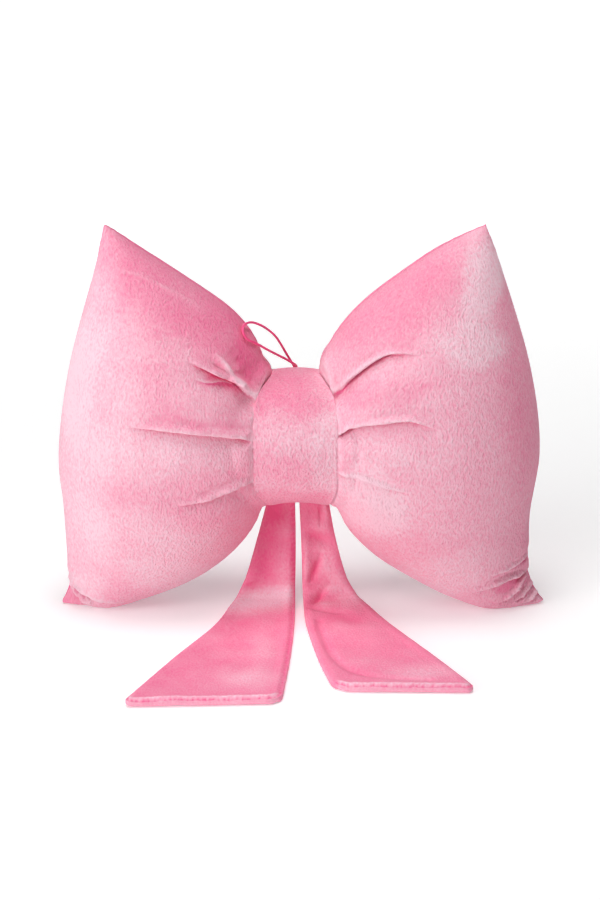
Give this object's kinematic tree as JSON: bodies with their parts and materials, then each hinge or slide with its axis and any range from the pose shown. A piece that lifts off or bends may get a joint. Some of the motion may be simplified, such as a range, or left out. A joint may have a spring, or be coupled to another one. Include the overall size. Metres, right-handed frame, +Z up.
{
  "type": "bow cushion",
  "caption": "Plush bow-shaped cushion: a stuffed pillow gathered at its waist by a wide cloth band, with flared cloth tails under the knot and a thin cord loop to hang it by.",
  "frame": {"origin": "on the floor, under the middle of the box around the standing bow's cloth", "axes": "+X to the right as seen from the bow's front, +Y from the front to the back, +Z up; the bow's face and its tails point to -Y"},
  "size_m": [0.4026, 0.2547, 0.325],
  "materials": {
    "lobes": "light pink short-pile plush",
    "band": "light pink short-pile plush",
    "tails": "light pink short-pile plush, stroked against the pile",
    "cord": "deep pink round satin cord"
  },
  "bodies": {
    "root": {"cushion": "lobes", "knot_band": "band", "tail_left": "tails", "tail_right": "tails", "hanging_loop": "cord"}
  },
  "joints": []
}
